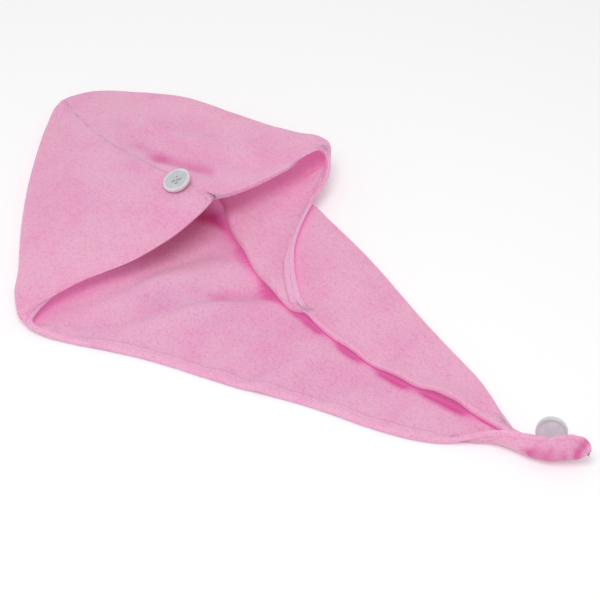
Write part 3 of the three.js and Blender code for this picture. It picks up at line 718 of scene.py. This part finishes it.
def make_button(name, node, holes, face_resin, rim_resin):
    """A dished disc with rounded edges, drilled, and seated where the CAD button is."""
    bpy.ops.object.select_all(action="DESELECT")
    radius, middle = BUTTON_ACROSS / 2, (0, 0, BUTTON_THICK / 2)
    bpy.ops.mesh.primitive_cylinder_add(vertices=72, radius=radius, depth=BUTTON_THICK, location=middle)
    button = bpy.context.object
    button.name = button.data.name = name
    bpy.ops.object.transform_apply(location=True, rotation=True, scale=True)
    bpy.ops.object.mode_set(mode="EDIT")
    bpy.ops.mesh.select_all(action="DESELECT")
    bpy.ops.mesh.select_mode(type="FACE")
    mesh = bmesh.from_edit_mesh(button.data)
    for face in mesh.faces:
        face.select_set(face.normal.z > 0.9)
    bmesh.update_edit_mesh(button.data)
    bpy.ops.mesh.inset(thickness=RIM_WIDTH)
    bpy.ops.mesh.inset(thickness=DISH_DEPTH)
    bpy.ops.transform.translate(value=(0, 0, -DISH_DEPTH))
    bpy.ops.object.mode_set(mode="OBJECT")
    round_edges = button.modifiers.new("round edges", "BEVEL")
    round_edges.width = EDGE_ROUND
    round_edges.segments = 4
    round_edges.limit_method = "ANGLE"
    round_edges.angle_limit = math.radians(25)
    bpy.ops.object.modifier_apply(modifier=round_edges.name)
    for x, y in holes:
        bpy.ops.object.select_all(action="DESELECT")
        bpy.ops.mesh.primitive_cylinder_add(
            vertices=20, radius=HOLE_ACROSS / 2, depth=DRILL_DEEP, location=(x, y, 0)
        )
        drill = bpy.context.object
        select_only(button)
        hole = button.modifiers.new("hole", "BOOLEAN")
        hole.operation = "DIFFERENCE"
        hole.solver = "EXACT"
        hole.object = drill
        bpy.ops.object.modifier_apply(modifier=hole.name)
        bpy.data.objects.remove(drill)
    bpy.ops.object.shade_smooth_by_angle(angle=math.radians(40))
    for material in (face_resin, rim_resin):
        button.data.materials.append(material)
    for face in button.data.polygons:
        face.material_index = int(math.hypot(*face.center[:2]) > BUTTON_ACROSS / 2 - RIM_WIDTH)
    turn, back = button_seat(node)
    button.matrix_world = Matrix.Translation(back) @ turn.to_matrix().to_4x4()
    bpy.ops.object.transform_apply(location=True, rotation=True, scale=True)
    return button


def resin_material(name, dark, pale):
    """Pale resin, softly glossy, with a cloud in it and fine handling marks."""
    material = bpy.data.materials.new(name)
    material.use_nodes = True
    make, link = material.node_tree.nodes.new, material.node_tree.links.new
    shader = material.node_tree.nodes["Principled BSDF"]
    place = make("ShaderNodeTexCoord")
    cloud = make("ShaderNodeTexNoise")
    cloud.inputs["Scale"].default_value = 110
    cloud.inputs["Detail"].default_value = 2
    link(place.outputs["Object"], cloud.inputs["Vector"])
    milk = make("ShaderNodeValToRGB")
    milk.color_ramp.elements[0].position = 0.3
    milk.color_ramp.elements[0].color = dark
    milk.color_ramp.elements[1].position = 0.72
    milk.color_ramp.elements[1].color = pale
    link(cloud.outputs["Fac"], milk.inputs["Fac"])
    link(milk.outputs["Color"], shader.inputs["Base Color"])
    marks = make("ShaderNodeTexNoise")
    marks.inputs["Scale"].default_value = 900
    marks.inputs["Detail"].default_value = 4
    link(place.outputs["Object"], marks.inputs["Vector"])
    worn = make("ShaderNodeMapRange")
    worn.inputs["From Min"].default_value = 0.35
    worn.inputs["From Max"].default_value = 0.7
    worn.inputs["To Min"].default_value = 0.22
    worn.inputs["To Max"].default_value = 0.36
    link(marks.outputs["Fac"], worn.inputs["Value"])
    link(worn.outputs["Result"], shader.inputs["Roughness"])
    shader.inputs["IOR"].default_value = 1.49
    shader.inputs["Coat Weight"].default_value = 0.2
    return material


grey_resin = resin_material("grey resin", (0.50, 0.54, 0.56, 1), (0.64, 0.67, 0.69, 1))
milky_resin = resin_material("milky resin", (0.72, 0.62, 0.69, 1), (0.84, 0.76, 0.81, 1))
half_pitch = HOLE_PITCH / 2
four_holes = [(x, y) for x in (-half_pitch, half_pitch) for y in (-half_pitch, half_pitch)]
nape_disc = make_button("nape_disc", "nape_button", four_holes, grey_resin, milky_resin)
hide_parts("nape_button")
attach(nape_disc, "root")

# The thread of the nape button: a few turns of pale yarn crossed over its face and down its holes.
# It keeps its solid, in twisted yarn.


def thread_material(name, dark, pale):
    """Twisted yarn: fine slanting ridges, with painted highlight on their tops and painted shade between
    them.
    """
    material = bpy.data.materials.new(name)
    material.use_nodes = True
    make, link = material.node_tree.nodes.new, material.node_tree.links.new
    shader = material.node_tree.nodes["Principled BSDF"]
    place = make("ShaderNodeTexCoord")
    slant = make("ShaderNodeMapping")
    slant.inputs["Rotation"].default_value = (0.4, 0.3, 0.8)
    link(place.outputs["Object"], slant.inputs["Vector"])
    twist = make("ShaderNodeTexWave")
    twist.inputs["Scale"].default_value = 420
    twist.inputs["Distortion"].default_value = 1.5
    link(slant.outputs["Vector"], twist.inputs["Vector"])
    shade = make("ShaderNodeValToRGB")
    shade.color_ramp.elements[0].color = dark
    shade.color_ramp.elements[1].color = pale
    link(twist.outputs["Fac"], shade.inputs["Fac"])
    link(shade.outputs["Color"], shader.inputs["Base Color"])
    bump = make("ShaderNodeBump")
    bump.inputs["Strength"].default_value = 0.6
    bump.inputs["Distance"].default_value = 0.0002
    link(twist.outputs["Fac"], bump.inputs["Height"])
    link(bump.outputs["Normal"], shader.inputs["Normal"])
    shader.inputs["Roughness"].default_value = 0.8
    shader.inputs["Sheen Weight"].default_value = 0.3
    return material


pale_yarn = thread_material("pale yarn", (0.60, 0.52, 0.57, 1), (0.72, 0.65, 0.70, 1))
for name in ("nape_thread", "tail_thread"):
    nodes[name].data.materials.clear()
    nodes[name].data.materials.append(pale_yarn)

# The tail button: the same disc with a plain face, held by a short wound shank behind the rolled tip,
# where it stands on its edge.
# Its face is a lighter copy of the nape button's grey resin, painted light that makes up for the shade its
# standing face is in.
lightened_grey_resin = resin_material("lightened grey resin", (0.70, 0.77, 0.78, 1), (0.82, 0.88, 0.89, 1))
clear_resin = resin_material("clear resin", (0.62, 0.66, 0.67, 1), (0.76, 0.79, 0.80, 1))
tail_disc = make_button("tail_disc", "tail_button", [], lightened_grey_resin, clear_resin)
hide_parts("tail_button")
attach(tail_disc, "root")
